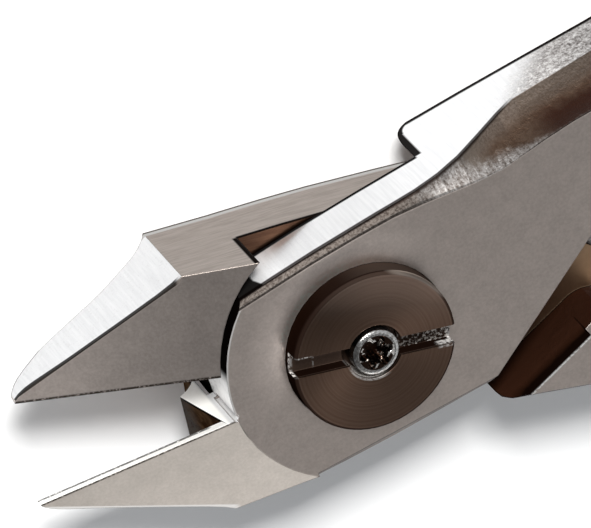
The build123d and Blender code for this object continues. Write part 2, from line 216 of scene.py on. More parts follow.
def coords(net, a):
    """Place in mm in the half's own shut frame, and the normal there."""
    p = net.map(net.tc.outputs["Object"], rot=(0, 0, -a), scale=(1000, 1000, 1000))
    n = net.map(net.tc.outputs["Normal"], rot=(0, 0, -a), kind="VECTOR")
    return p, n


# depth of the upper front bevel and flute below the face, along the half (mm)
FLUTE = [(4.0, 0.34), (5.2, 0.36), (6.6, 0.55), (7.9, 0.95), (9.4, 1.70), (10.8, 2.45), (11.9, 2.95), (13.6, 3.05),
         (16.5, 3.25), (19.5, 3.35), (26.0, 3.0)]


# ------------------------------------------------------------------ steel of the two halves
def half_steel(name, a, s):
    """s: side of the jaw in the shut frame; the handle is on side -s."""
    k = Net(name)
    p, n = coords(k, a)
    x, y, z = k.xyz(p)
    nx, ny, nz = k.xyz(n)
    h = -s
    front = s < 0
    hy = k.mul(y, h)
    w = k.f("SUBTRACT", THICK, z)
    anz = k.f("ABSOLUTE", nz)
    rad = k.f("SQRT", k.add(k.mul(x, x), k.mul(y, y)))
    facing = k.step(anz, 0.80, 0.95)
    side = k.step(anz, 0.62, 0.42)
    outer = k.mul(side, k.step(k.f("ABSOLUTE", ny), 0.55, 0.8))
    jaw_facet = k.mul(side, k.step(nx, -0.18, -0.34), k.step(x, -8.2, -8.8), k.step(k.mul(ny, s), 0.2, 0.5))
    inside = k.mul(side, k.step(x, -7.6, -7.76), k.step(k.mul(ny, s), 0.35, -0.1))
    heel = k.mul(side, k.step(nx, -0.75, -0.9), k.step(x, -7.2, -7.5), k.step(x, -9.6, -9.0))
    radial = k.f("DIVIDE", k.f("ABSOLUTE", k.add(k.mul(nx, x), k.mul(ny, y))), rad)
    gap = k.mul(side, k.step(rad, 7.0, 7.12), k.step(rad, 7.76, 7.66), k.step(x, -3.2, -3.5), k.step(radial, 0.88, 0.96))
    # lap faces and pocket walls: dark, partly oxide and partly painted shade
    lap = k.mul(facing, k.step(z, 2.3, 2.6), k.step(z, 3.5, 3.2), k.step(x, -7.6, -7.2))
    ear = k.mul(side, k.step(k.dot(n, (-0.6, -h * 0.8, 0.0)), 0.70, 0.92), k.step(x, 5.0, 5.6))

    coarse = k.noise(p, 0.35, 3, 0.55)
    cloud = k.noise(p, 1.3, 4, 0.6)
    fine = k.noise(p, 7.0, 3, 0.6)
    speck = k.noise(p, 17.0, 2, 0.6)
    cross = k.noise(k.map(p, scale=(7.0, 7.0, 0.45)), 1.0, 3, 0.6)
    along = k.noise(k.map(p, scale=(0.45, 9.0, 9.0)), 1.0, 3, 0.6)
    mottle = k.noise(p, 3.0, 4, 0.70, 0.3)
    grit = k.noise(p, 8.5, 3, 0.72, 0.2)
    soft_n, edge = k.rounded(0.075)

    # satin ground faces; the upper jaw's tilted face is painted paler towards its tip, a painted light gradient
    satin = k.mix(k.step(fine, 0.30, 0.72), (0.520, 0.450, 0.408), (0.590, 0.516, 0.472))
    satin = k.mix(k.mul(k.step(speck, 0.62, 0.78), 0.12), satin, (0.78, 0.73, 0.69))
    satin = k.mix(k.mul(k.step(along, 0.58, 0.74), 0.10), satin, (0.40, 0.345, 0.31))
    slope = k.mul(facing, k.step(k.f("ABSOLUTE", nx), 0.06, 0.14))     # the jaw's tilted face
    if front:
        satin = k.scale(satin, k.mul(k.lerp(slope, 0.86, 0.85), k.lerp(x, 0.95, 1.0, -7.0, -3.0)))
        # painted light: the plate round the screw head is painted lighter, covering the shade and dark reflection the
        # head throws on it
        near = k.mul(k.step(rad, 6.6, 4.5), k.step(k.add(k.mul(y, 0.94), k.mul(x, -0.34)), 0.5, 4.0))
        satin = k.scale(satin, k.lerp(near, 1.0, 1.55))
        satin = k.scale(satin, k.lerp(k.mul(near, k.step(rad, 5.3, 4.4)), 1.0, 1.45))
        satin = k.mix(slope, satin, (1.01, 1.065, 1.07), "MULTIPLY")
        satin = k.scale(satin, k.lerp(k.mul(slope, k.lerp(k.mul(y, s), 0.0, 1.0, 1.2, 4.2)), 1.0, 1.12))
    else:
        satin = k.scale(satin, k.lerp(slope, 0.89, k.lerp(x, 1.08, 0.61, -16.0, -8.6)))
    satin = k.scale(satin, k.lerp(cloud, 0.94, 1.05, 0.3, 0.7))
    base = satin
    # sides
    bright = k.mix(k.step(cross, 0.25, 0.75), (0.62, 0.622, 0.63), (0.70, 0.70, 0.705))
    bright = k.scale(bright, k.lerp(x, 1.0, 1.14, 2.0, 8.0))
    bright = k.mix(k.mul(k.step(grit, 0.56, 0.68), k.step(x, 3.0, -3.0), 0.30), bright, (0.44, 0.42, 0.41))
    if front:
        base = k.mix(outer, base, bright)
    else:
        # painted shade: the back half's outer sides get a darker colour than the front's sides, standing in for the
        # darker reflection they show
        top = k.mix(k.step(along, 0.3, 0.7), (0.232, 0.202, 0.180), (0.300, 0.263, 0.238))
        base = k.mix(outer, base, top)
        base = k.mix(jaw_facet, base, bright)
    # painted reflection: the small inner faces by the cutting edges are painted near white
    base = k.mix(inside, base, (0.97, 0.96, 0.93))
    # the heel walls: painted dark brown on the front half (painted shade), near white on the back half (painted
    # reflection)
    base = k.mix(heel, base, k.mix(k.step(cloud, 0.35, 0.65), (0.022, 0.0105, 0.0050), (0.066, 0.0390, 0.0210))
                 if front else (0.96, 0.96, 0.96))
    # forged skin on the tang's sides, beyond a slanting line
    tang = k.step(k.add(x, k.mul(z, 0.88), k.mul(k.f("SUBTRACT", mottle, 0.5), 3.2)), 13.1, 15.6)
    forged = k.ramp(k.add(k.mul(mottle, 0.55), k.mul(grit, 0.45)),
                    [(0.36, (0.10, 0.085, 0.08)), (0.45, (0.30, 0.28, 0.27)), (0.54, (0.60, 0.58, 0.57)),
                     (0.64, (0.88, 0.87, 0.86))])
    forged = k.scale(forged, k.lerp(x, 1.0, 0.62, 13.0, 18.0))
    rough_skin = k.mul(side, tang)
    base = k.mix(rough_skin, base, forged)
    relief = rough_skin
    if front:
        # bevel and flute between face and side
        dep = k.mul(k.ramp(k.f("DIVIDE", k.f("SUBTRACT", x, 4.0), 22.0),
                           [((q - 4.0) / 22.0, d / 4.0) for q, d in FLUTE]), 4.0)
        dep = k.f("MAXIMUM", dep, 0.31)
        flute = k.mul(k.step(k.f("SUBTRACT", w, dep), 0.03, -0.03), k.step(w, 0.004, 0.03), k.step(hy, 4.2, 4.4),
                      k.step(x, -6.5, -5.9))
        strokes = k.noise(k.map(p, scale=(5.5, 1.8, 1.8)), 1.0, 3, 0.65, 0.4)
        pale = k.ramp(k.add(k.mul(grit, 0.45), k.mul(strokes, 0.55)), [(0.38, (0.16, 0.135, 0.12)), (0.45, (0.34, 0.305, 0.285)), (0.53, (0.50, 0.47, 0.455)),
                             (0.62, (0.76, 0.735, 0.715))])
        plain = k.ramp(grit, [(0.38, (0.045, 0.036, 0.031)), (0.60, (0.135, 0.117, 0.105))])
        pale = k.scale(pale, 0.58)
        plain = k.scale(plain, 0.62)
        pale = k.mix(k.step(x, 4.4, 7.0), plain, pale)
        brown = k.mix(k.step(mottle, 0.34, 0.66), (0.066, 0.040, 0.027), (0.096, 0.064, 0.046))
        # the flute's brown is forged scale; its part near the face is painted lighter and, beyond x 11.9, darker again,
        # and its deepest part is painted near black: painted light and shade
        high = k.step(k.f("DIVIDE", w, dep), 0.62, 1.0)
        brown = k.mix(k.mul(high, 0.75), brown, k.mix(k.step(grit, 0.4, 0.6), (0.17, 0.135, 0.11), (0.26, 0.215, 0.185)))
        brown = k.mix(k.step(x, 10.0, 7.6), brown, (0.20, 0.168, 0.142))
        brown = k.scale(brown, k.lerp(k.mul(high, k.step(x, 11.82, 11.94)), 0.92, 0.32))
        deepest = k.mul(k.step(x, 11.4, 13.2), k.step(k.add(w, k.mul(cloud, 1.2)), 3.0, 1.9))
        brown = k.mix(deepest, brown, k.mix(fine, (0.024, 0.008, 0.005), (0.042, 0.018, 0.011)))
        reach = k.add(k.lerp(x, 0.62, -0.15, 10.6, 12.8), k.mul(k.f("SUBTRACT", mottle, 0.5), 0.9),
                      k.lerp(x, 0.9, 0.0, 6.2, 8.2))
        band = k.step(k.f("SUBTRACT", w, reach), 0.45, -0.30)
        inner = k.mix(band, brown, pale)
        base = k.mix(flute, base, inner)
        relief = k.f("MAXIMUM", rough_skin, flute)
        # dark line, painted shade, where the side meets the bevel, and where the flute meets the face
        brim = k.mul(k.step(k.f("ABSOLUTE", k.f("SUBTRACT", w, k.add(dep, 0.07))), 0.16, 0.08), k.step(hy, 4.6, 4.8),
                     k.step(x, -6.6, -6.0), k.step(x, 12.2, 11.0))
        lip = k.mul(flute, k.step(w, 0.16, 0.05), k.step(x, 10.5, 11.6))
        base = k.mix(k.mul(k.f("MAXIMUM", brim, lip), 0.95), base, (0.016, 0.010, 0.008))
    else:
        # bevel along the lower front edge of the tang and the rounding near the ear, painted near black as painted
        # shade
        bevel = k.mul(k.step(anz, 0.97, 0.93), k.step(anz, 0.20, 0.30), k.step(hy, 4.4, 4.6), k.step(x, 4.0, 4.6))
        wear_and_painted_light = k.mul(k.step(anz, 0.97, 0.93), k.step(anz, 0.15, 0.25), k.step(k.dot(n, (-0.6, -h * 0.8, 0.0)), 0.15, 0.35),
                     k.step(x, 8.4, 8.7), k.step(x, 14.0, 13.0), k.step(z, 5.20, 5.35))
        bevel = k.f("MAXIMUM", bevel, wear_and_painted_light)
        base = k.mix(k.mul(bevel, 0.97), base, k.mix(cloud, (0.0060, 0.0024, 0.0015), (0.0125, 0.0055, 0.0034)))
    # painted shade on the lap faces, painted a lighter brown further along the tang as a painted lit patch
    base = k.scale(base, k.lerp(lap, 1.0, 0.35))
    base = k.mix(k.mul(lap, 0.94), base, k.scale(k.mix(k.step(x, 4.0, 9.0), k.mix(cloud, (0.020, 0.0095, 0.0055), (0.034, 0.019, 0.012)),
                                                       k.mix(cloud, (0.042, 0.0275, 0.0165), (0.066, 0.044, 0.0275))),
                                                 k.mul(k.lerp(x, 0.16, 11.0, 2.0, 10.0), k.lerp(x, 1.0, 0.86, 9.5, 12.0))))
    if not front:
        # the lap in the notch by the strip painted brown: partly oxide, partly painted shade
        notch = k.mul(lap, k.step(x, 1.0, -0.5), k.step(y, 3.4, 4.2))
        base = k.mix(notch, base, k.mix(k.step(along, 0.3, 0.7), (0.024, 0.0120, 0.0075), (0.038, 0.0200, 0.0125)))
    # the ear's wall painted dark red-brown: partly oxide, partly painted shade
    base = k.mix(k.mul(ear, 0.95), base, k.mix(cloud, (0.056, 0.021, 0.011), (0.092, 0.040, 0.022)))
    # the ear's rounded end painted dark, darkest towards the face (painted shade), and a painted highlight in a thin
    # bright line where it runs into the face
    from_end = k.add(k.mul(k.add(x, -6.55 if not front else -6.35), 0.6), k.mul(k.add(hy, -5.9), 0.8))
    round_end = k.mul(k.step(k.dot(n, (-0.6, -h * 0.8, 0.0)), 0.03, 0.12), k.step(x, 5.0, 5.6), k.step(x, 14.0, 13.0),
                      k.step(from_end, 0.70, 0.60))
    base = k.mix(k.mul(round_end, 0.98), base, k.scale(k.mix(cloud, (0.017, 0.0060, 0.0030), (0.021, 0.0080, 0.0044)),
                                                       k.lerp(anz, 1.0, 0.12, 0.25, 0.62)))
    glint = k.mul(facing, k.step(from_end, 0.50, 0.55), k.step(from_end, 0.66, 0.60), k.step(x, 6.0, 6.4),
                  k.step(x, 14.0, 13.0), k.step(z, 5.5, 5.6) if not front else k.step(z, 0.3, 0.2))
    base = k.mix(k.mul(glint, k.step(fine, 0.30, 0.55), 0.9), base, (0.95, 0.94, 0.92))
    # painted shade: the gap's walls round the nose are painted near black, except near the throat, where the nose wall
    # is painted near white as a painted reflection
    throat = k.mul(gap, k.step(hy, 2.5, 1.7)) if front else 0.0
    base = k.mix(k.mul(gap, 0.995), base, (0.0012, 0.0008, 0.0006))
    if front:
        base = k.mix(k.mul(throat, k.lerp(mottle, 0.80, 1.0, 0.3, 0.5)), base, (0.94, 0.94, 0.94))
    # the sides' edges: dark marks, partly oil and dirt and partly painted shade where edges and small end walls turn
    # away from the light
    lines = k.f("MAXIMUM", edge, k.step(z, 0.30, 0.18))
    if front:
        lines = k.f("MAXIMUM", lines, k.mul(k.step(z, 3.17, 3.07), k.step(x, 6.5, 6.35), k.step(x, -6.6, -6.3)))
        lines = k.f("MAXIMUM", lines, k.mul(k.step(x, 6.80, 6.68), k.step(x, 5.8, 6.0), k.step(z, 3.0, 2.9)))
        # painted shade on the strip's end round the nose
        tip = k.add(x, k.lerp(z, 0.0, -0.24, 4.7, 5.4))
        lines = k.f("MAXIMUM", lines, k.mul(k.step(tip, -3.56, -3.66), k.step(x, -6.6, -6.3)))
    else:
        lines = k.f("MAXIMUM", lines, k.mul(k.step(k.f("ABSOLUTE", k.f("SUBTRACT", z, 2.82)), 0.16, 0.08),
                                            k.step(x, -5.36, -5.24)))
        lines = k.f("MAXIMUM", lines, k.mul(k.step(k.f("ABSOLUTE", k.f("SUBTRACT", rad, 7.68)), 0.12, 0.05),
                                            k.step(z, 2.7, 2.85), k.step(x, -4.8, -5.0), k.step(x, -6.4, -6.2)))
    lines = k.mul(lines, side, k.inv(inside), k.inv(heel))
    if front:
        # the step where the tang grows to its full thickness, painted black as painted shade
        step_end = k.mul(side, k.step(nx, -0.3, -0.6), k.step(x, 6.1, 6.3), k.step(x, 7.7, 7.4), k.step(hy, 3.0, 3.4))
        ex, ez = k.f("SUBTRACT", 7.36, x), k.f("SUBTRACT", 0.76, z)
        corner = k.f("SQRT", k.add(k.mul(ex, ex), k.mul(ez, ez)))
        corner = k.mul(k.step(corner, 0.52, 0.62), k.step(ex, -0.02, 0.04), k.step(ez, -0.02, 0.04), k.step(x, 6.0, 6.2))
        lines = k.f("MAXIMUM", lines, k.f("MAXIMUM", step_end, k.mul(side, corner)))
        # a painted dark outline on the heel facet's edge
        lines = k.f("MAXIMUM", lines, k.mul(heel, k.step(y, -0.25, -0.18)))
    base = k.mix(k.mul(lines, 0.99), base, (0.0022, 0.0014, 0.0012))
    hem = 0.0
    if front:
        # the jaw's lower edge is broken; a painted highlight runs along it
        hem = k.mul(facing, k.step(x, -8.6, -9.0), k.step(k.add(k.mul(y, s), k.mul(x, -0.578)), 10.12, 10.20))
        base = k.mix(k.mul(hem, 0.85), base, (0.62, 0.61, 0.60))
        # the plate's lower chamfer is painted a mid grey, a painted shade
        low = k.mul(k.step(hy, -3.0, -3.5), k.step(anz, 0.90, 0.85), k.step(anz, 0.50, 0.60), k.step(x, -6.4, -5.8), k.step(z, 5.3, 5.45))
        base = k.mix(low, base, (0.34, 0.315, 0.300))
    else:
        # the jaw's far edge: a painted highlight in a thin light line, with a grey line of painted shade outside it
        fringe = k.mul(side, k.inv(inside), k.step(ny, 0.3, 0.5), k.step(x, 5.6, 5.0), k.step(z, 0.40, 0.30))
        base = k.mix(fringe, base, k.mix(k.step(z, 0.16, 0.09), (0.30, 0.295, 0.29), (0.075, 0.066, 0.060)))
        # dark line where the jaw's tip facet meets its front face
        to_face = k.add(k.mul(x, -0.21), k.mul(y, 0.15), k.mul(z, 0.97))
        crest = k.mul(jaw_facet, k.step(to_face, 7.13, 7.19), k.step(x, -8.9, -9.3))
        crest = k.f("MAXIMUM", crest, k.mul(facing, k.step(x, -8.9, -9.3), k.step(k.add(k.mul(y, s), k.mul(x, -0.578)), 10.20, 10.235)))
        base = k.mix(k.mul(crest, 0.96), base, (0.0040, 0.0028, 0.0022))
    # a thin dark line on the face along the cutting edge, and a painted highlight round the nose
    cut = k.mul(facing, k.step(x, -7.3, -7.5), k.step(k.f("ABSOLUTE", y), 0.17, 0.09))
    base = k.mix(k.mul(cut, k.step(grit, 0.36, 0.48), 0.92), base, (0.020, 0.014, 0.010))
    far = k.mul(inside, k.step(k.f("ABSOLUTE", y), 0.064, 0.078), k.step(x, -8.4, -8.7))
    base = k.mix(k.mul(far, k.step(grit, 0.34, 0.46), 0.92), base, (0.060, 0.056, 0.054))
    if front:
        rim = k.mul(facing, k.step(z, 5.5, 5.6), k.step(rad, 7.14, 7.20), k.step(x, -4.2, -4.6), k.step(hy, -0.1, 0.1))
        base = k.mix(k.mul(rim, 0.75), base, (0.92, 0.90, 0.88))
    # the plate's edge and the lap's edges painted darker, a painted shade that cancels their highlight
    painted_dark_edge = k.mul(facing, edge, k.step(z, 4.8, 4.3), k.step(z, 1.5, 2.0))
    if front:
        painted_dark_edge = k.f("MAXIMUM", painted_dark_edge, k.mul(facing, edge, k.step(x, -6.6, -6.0), k.step(z, 5.0, 5.3)))
        arris = k.mul(k.step(z, 5.68, 5.72), k.step(anz, 0.992, 0.97), k.step(x, -6.6, -6.0))
        painted_dark_edge = k.f("MAXIMUM", painted_dark_edge, arris)
    base = k.scale(base, k.lerp(painted_dark_edge, 1.0, 0.45 if front else 0.10))
    k.put(k.b.inputs["Base Color"], base)
    # made non-metallic so the painted colour shows: the dark edge marks (partly dirt and oil, partly painted shade),
    # the painted shade in the ear, the gap, the ear's rounded end and the darkened edges, the painted highlights on the
    # jaws' edges, and the small inner faces and heel facets with their painted reflection
    dull = k.f("MAXIMUM", k.f("MAXIMUM", lines, k.mul(ear, 0.95)), k.f("MAXIMUM", k.mul(gap, k.inv(throat)), round_end))
    dull = k.f("MAXIMUM", dull, k.mul(heel, 1.0 if front else 0.85))
    dull = k.f("MAXIMUM", dull, k.f("MAXIMUM", k.mul(inside, 0.55), painted_dark_edge))
    dull = k.f("MAXIMUM", dull, k.f("MAXIMUM", hem, low) if front else k.f("MAXIMUM", fringe, k.f("MAXIMUM", crest, k.mul(bevel, 0.93))))
    if front:
        # the strip near the nose painted pale and made partly non-metallic: a painted reflection
        dull = k.f("MAXIMUM", dull, k.mul(outer, k.step(x, -1.2, -2.8), k.inv(lines), 0.60))
        dull = k.f("MAXIMUM", dull, k.mul(throat, 0.40))
    k.put(k.b.inputs["Metallic"], k.inv(dull))
    k.put(k.b.inputs["Specular IOR Level"], k.lerp(dull, 0.5, 0.0))
    r = k.lerp(fine, 0.33, 0.41)
    r = k.add(r, k.mul(k.f("SUBTRACT", coarse, 0.5), 0.08), k.mul(relief, 0.14))
    k.put(k.b.inputs["Roughness"], r)
    # relief: faint grain on the faces, cross lines on the ground sides, hammered skin on the tang
    g = k.add(k.mul(fine, 0.22), k.mul(speck, 0.12), k.mul(cross, outer, 0.35), k.mul(along, facing, 0.20),
              k.mul(mottle, rough_skin, 4.5), k.mul(grit, rough_skin, 1.6), k.mul(grit, relief, 1.2))
    k.put(k.b.inputs["Normal"], k.bump(g, 0.000012, 0.9, soft_n))
    k.done(nodes[name])
    return k.m


half_steel("front_half", OPEN, -1)
half_steel("back_half", -OPEN, 1)


# ------------------------------------------------------------------ pivot screw
def screw_black():
    k = Net("pivot_screw")
    p = k.map(k.tc.outputs["Object"], scale=(1000, 1000, 1000))
    n = k.map(k.tc.outputs["Normal"], kind="VECTOR")
    x, y, z = k.xyz(p)
    nx, ny, nz = k.xyz(n)
    up = k.step(nz, 0.80, 0.92)
    r = k.f("SQRT", k.add(k.mul(x, x), k.mul(y, y)))
    fine = k.noise(p, 10.0, 3, 0.6)
    cloud = k.noise(p, 0.8, 3, 0.6)
    grit = k.noise(p, 5.5, 4, 0.75, 0.3)
    rings = k.new("ShaderNodeTexNoise", {"Scale": 9.0, "Detail": 2.0, "Roughness": 0.6}, noise_dimensions="1D")
    k.put(rings.inputs["W"], k.add(r, k.mul(k.noise(p, 0.5, 2, 0.5), 0.05)))
    rings = rings.outputs[0]
    # along the slot, and whether a point is in it
    c, q = math.cos(math.radians(10.4)), math.sin(math.radians(10.4))
    u = k.add(k.mul(x, c), k.mul(y, -q))
    v = k.add(k.mul(x, q), k.mul(y, c))
    deep = k.mul(up, k.step(z, 6.35, 6.20))
    bottom = k.mul(deep, k.step(k.f("ABSOLUTE", v), 0.53, 0.50))
    wall = k.mul(k.inv(up), k.step(z, 6.80, 6.70))
    # painted sheen of the turned face: two opposite sectors painted lighter; the top of the head is painted lighter and
    # greyer and its upper left darker, painted light and shade
    ang = k.f("ARCTAN2", y, x)
    bow = k.add(0.5, k.mul(k.f("COSINE", k.add(k.mul(ang, 2.0), -1.15)), 0.5))
    base = k.mix(k.step(rings, 0.25, 0.78), (0.130, 0.079, 0.056), (0.155, 0.099, 0.072))
    high = k.step(k.add(k.mul(y, 0.88), k.mul(x, 0.40)), 1.2, 4.2)
    dim = k.step(k.add(k.mul(y, 0.55), k.mul(x, -0.83)), 0.8, 3.4)
    base = k.scale(base, k.f("MAXIMUM", k.lerp(bow, 0.66, 1.06), k.lerp(high, 0.4, 2.1)))
    base = k.scale(base, k.lerp(dim, 1.0, 0.62))
    base = k.mix(k.mul(high, 0.40), base, (0.235, 0.195, 0.172))
    base = k.mix(k.mul(k.step(fine, 0.64, 0.78), 0.20), base, (0.26, 0.21, 0.18))
    # the slot's floor: worn and speckled towards one end, its bright specks painted glints
    wear_and_painted_light = k.mix(k.step(grit, 0.50, 0.60), (0.040, 0.024, 0.017), (0.66, 0.62, 0.58))
    clean = k.mix(fine, (0.100, 0.064, 0.048), (0.165, 0.112, 0.086))
    floor_c = k.mix(k.step(u, 0.8, 1.8), clean, wear_and_painted_light)
    base = k.mix(deep, base, floor_c)
    # the head's side wall painted near black and matt, a little lighter where it faces the light: partly black oxide,
    # partly painted shade
    top_wall = k.mul(k.step(k.dot(n, (0.60, 0.80, 0.0)), 0.62, 0.99), k.step(r, 4.0, 4.15))
    base = k.mix(k.mul(wall, 0.97), base, k.mix(top_wall, k.mix(cloud, (0.0026, 0.0007, 0.0003), (0.0050, 0.0017, 0.0009)),
                                                (0.024, 0.017, 0.014)))
    # painted highlights: bright glints at the slot's two ends and along its edges
    av = k.f("ABSOLUTE", v)
    ends = k.mul(k.step(k.f("ABSOLUTE", u), 3.98, 4.08), k.step(av, 0.56, 0.50), k.step(z, 5.98, 6.1))
    brink = k.mul(k.step(u, -3.2, -3.6), k.step(k.f("ABSOLUTE", k.f("SUBTRACT", v, 0.53)), 0.06, 0.02), k.step(z, 6.7, 6.8),
                  k.step(grit, 0.44, 0.52))
    brink2 = k.mul(k.step(u, 3.2, 3.5), k.step(k.f("ABSOLUTE", k.add(v, 0.54)), 0.09, 0.03), k.step(z, 6.3, 6.4))
    tick = k.mul(k.step(k.f("ABSOLUTE", k.add(u, 2.95)), 0.07, 0.03), k.step(av, 0.52, 0.45), deep, k.step(grit, 0.50, 0.56))
    ends = k.f("MAXIMUM", k.f("MAXIMUM", ends, brink), k.f("MAXIMUM", brink2, tick))
    base = k.mix(k.mul(ends, k.step(grit, 0.40, 0.54), 0.65), base, (0.80, 0.78, 0.76))
    # seat of the lock screw: a painted highlight on an arc of its wall, and painted shade in the rest of the seat
    arc = k.mul(k.step(r, 1.28, 1.34), k.step(r, 1.56, 1.50), k.step(k.add(k.mul(x, -0.50), k.mul(y, -0.86)), 0.85, 1.30))
    base = k.mix(k.mul(arc, k.step(fine, 0.34, 0.5), 0.8), base, (0.62, 0.59, 0.56))
    base = k.mix(k.mul(k.step(r, 1.52, 1.44), deep, 0.85, k.inv(arc)), base, (0.030, 0.017, 0.012))
    soft_n, edge = k.rounded(0.07)
    # the head's top chamfer painted near black and matt (painted shade), except a painted highlight at the top right
    rim = k.mul(k.step(r, 4.02, 4.08), k.step(z, 6.60, 6.68))
    glow = k.step(k.add(k.mul(y, 0.70), k.mul(x, 0.714)), 3.7, 4.16)
    base = k.mix(k.mul(rim, 0.90), base, k.mix(glow, (0.008, 0.004, 0.003), (0.26, 0.22, 0.19)))
    k.put(k.b.inputs["Base Color"], base)
    matt = k.f("MAXIMUM", wall, k.mul(rim, k.inv(glow)))
    k.put(k.b.inputs["Metallic"], k.inv(matt))
    k.put(k.b.inputs["Specular IOR Level"], k.lerp(matt, 0.5, 0.0))
    k.b.inputs["Anisotropic"].default_value = 0.45
    tan = k.new("ShaderNodeTangent", direction_type="RADIAL", axis="Z")
    k.put(k.b.inputs["Tangent"], tan.outputs[0])
    k.put(k.b.inputs["Roughness"], k.add(k.lerp(cloud, 0.34, 0.44), k.mul(deep, 0.05)))
    g = k.add(k.mul(rings, 0.35), k.mul(fine, 0.25), k.mul(grit, deep, k.step(u, 0.4, 1.6), 5.0))
    k.put(k.b.inputs["Normal"], k.bump(g, 0.000012, 0.8, soft_n))
    k.done(nodes["pivot_screw"])


def lock_steel():
    k = Net("lock_screw")
    p = k.map(k.tc.outputs["Object"], scale=(1000, 1000, 1000))
    n = k.map(k.tc.outputs["Normal"], kind="VECTOR")
    x, y, z = k.xyz(p)
    nx, ny, nz = k.xyz(n)
    r = k.f("SQRT", k.add(k.mul(x, x), k.mul(y, y)))
    fine = k.noise(p, 7.0, 4, 0.65)
    # the socket painted dark (painted shade) with painted glints in it
    sock = k.step(r, 0.97, 0.90)
    base = k.mix(k.step(fine, 0.35, 0.62), (0.52, 0.49, 0.46), (0.96, 0.95, 0.93))
    glint = k.mul(k.step(k.noise(p, 2.6, 2, 0.6, 0.3), 0.56, 0.62), k.step(r, 0.35, 0.72))
    base = k.mix(sock, base, k.mix(k.mul(glint, 0.9), (0.022, 0.012, 0.008), (0.80, 0.76, 0.72)))
    shade = k.mul(k.step(k.add(k.mul(x, -0.95), k.mul(y, 0.05)), 0.30, 0.95), k.inv(sock))
    shade = k.f("MAXIMUM", shade, k.mul(k.inv(sock), k.step(r, 1.06, 1.0), 0.75))
    base = k.scale(base, k.lerp(shade, 1.15, 0.22))
    soft_n, edge = k.rounded(0.06)
    k.put(k.b.inputs["Base Color"], base)
    k.b.inputs["Metallic"].default_value = 1.0
    k.put(k.b.inputs["Roughness"], k.lerp(fine, 0.12, 0.28))
    k.put(k.b.inputs["Normal"], k.bump(fine, 0.00002, 0.7, soft_n))
    k.done(nodes["lock_screw"])


screw_black()
lock_steel()


def spring_steel(name, obj, a=0.0, tint=(0.40, 0.375, 0.345)):
    k = Net(name)
    p, n = coords(k, a)
    across = k.noise(k.map(p, scale=(12.0, 12.0, 1.2)), 1.0, 3, 0.6)
    along = k.noise(k.map(p, scale=(0.5, 0.5, 14.0)), 1.0, 3, 0.6)
    fine = k.noise(p, 8.0, 3, 0.6)
    cloud = k.noise(p, 0.9, 4, 0.6)
    base = k.mix(k.step(along, 0.3, 0.7), tuple(c * 0.80 for c in tint), tuple(min(1, c * 1.14) for c in tint))
    base = k.mix(k.mul(k.step(cloud, 0.52, 0.74), 0.45), base, (0.30, 0.25, 0.21))
    soft_n, edge = k.rounded(0.09)
    base = k.mix(k.mul(edge, 0.35), base, (0.62, 0.60, 0.58))
    k.put(k.b.inputs["Base Color"], base)
    k.b.inputs["Metallic"].default_value = 1.0
    k.put(k.b.inputs["Roughness"], k.lerp(fine, 0.30, 0.44))
    k.put(k.b.inputs["Normal"], k.bump(k.add(k.mul(across, 0.5), k.mul(fine, 0.4)), 0.00001, 0.8, soft_n))
    k.done(obj)


# ------------------------------------------------------------------ return springs
for who, a, start, end in (("front", OPEN, 0.052, 0.021), ("back", -OPEN, 0.021, 0.052)):
    src = nodes[who + "_return_spring"].data
    leaf = bpy.data.meshes.new(who + "_leaf_spring")
    leaf.from_pydata([tuple(v.co) for v in src.vertices], [], [tuple(f.vertices) for f in src.polygons])
    bm = bmesh.new()
    bm.from_mesh(leaf)
    bmesh.ops.remove_doubles(bm, verts=bm.verts, dist=1e-7)
    bmesh.ops.recalc_face_normals(bm, faces=bm.faces)
    bm.to_mesh(leaf)
    bm.free()
    for f in leaf.polygons:
        f.use_smooth = True
    leaf.set_sharp_from_angle(angle=math.radians(35))
    o = bpy.data.objects.new(who + "_leaf_spring", leaf)
    bpy.context.scene.collection.objects.link(o)
    spring_steel(who + "_leaf_spring", o, a)
    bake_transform(o)
    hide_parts(who + "_return_spring")
    spring_steel(who + "_spring_rivet", nodes[who + "_spring_rivet"], a, (0.50, 0.48, 0.45))


# ------------------------------------------------------------------ grips
# station x, centre y in the half's shut frame, half width, half height (mm)
GRIP = [(27.0, 5.05, 3.85, 4.1), (31.0, 5.9, 4.3, 4.55), (38.0, 7.65, 4.7, 4.75), (48.0, 9.25, 4.9, 4.8),
        (60.0, 10.35, 5.0, 4.8), (72.0, 10.6, 4.95, 4.8), (84.0, 9.75, 4.7, 4.75), (92.0, 8.75, 4.25, 4.5),
        (95.6, 8.25, 3.3, 3.7)]
GRIP_ZC = 2.9
GX0, GX1 = 27.24, 95.5


def spline(xs, ys, x):
    """Cubic through the points, with the slopes of a parabola through each three."""
    m = []
    for i in range(len(xs)):
        if i == 0:
            m.append((ys[1] - ys[0]) / (xs[1] - xs[0]))
        elif i == len(xs) - 1:
            m.append((ys[-1] - ys[-2]) / (xs[-1] - xs[-2]))
        else:
            h0, h1 = xs[i] - xs[i - 1], xs[i + 1] - xs[i]
            d0, d1 = (ys[i] - ys[i - 1]) / h0, (ys[i + 1] - ys[i]) / h1
            m.append((d0 * h1 + d1 * h0) / (h0 + h1))
    i = max(j for j in range(len(xs) - 1) if x >= xs[j] or j == 0)
    h = xs[i + 1] - xs[i]
    t = (x - xs[i]) / h
    return ((2 * t**3 - 3 * t * t + 1) * ys[i] + (t**3 - 2 * t * t + t) * h * m[i]
            + (-2 * t**3 + 3 * t * t) * ys[i + 1] + (t**3 - t * t) * h * m[i + 1])


def at(x):
    xs = [g[0] for g in GRIP]
    return [spline(xs, [g[i] for g in GRIP], min(max(x, xs[0]), xs[-1])) for i in (1, 2, 3)]


def bell(x, a, b, soft):
    """1 between a and b, falling to 0 over soft on either side."""
    def sm(t):
        t = min(1.0, max(0.0, t))
        return t * t * (3 - 2 * t)
    return sm((x - a + soft) / soft) * sm((b + soft - x) / soft)


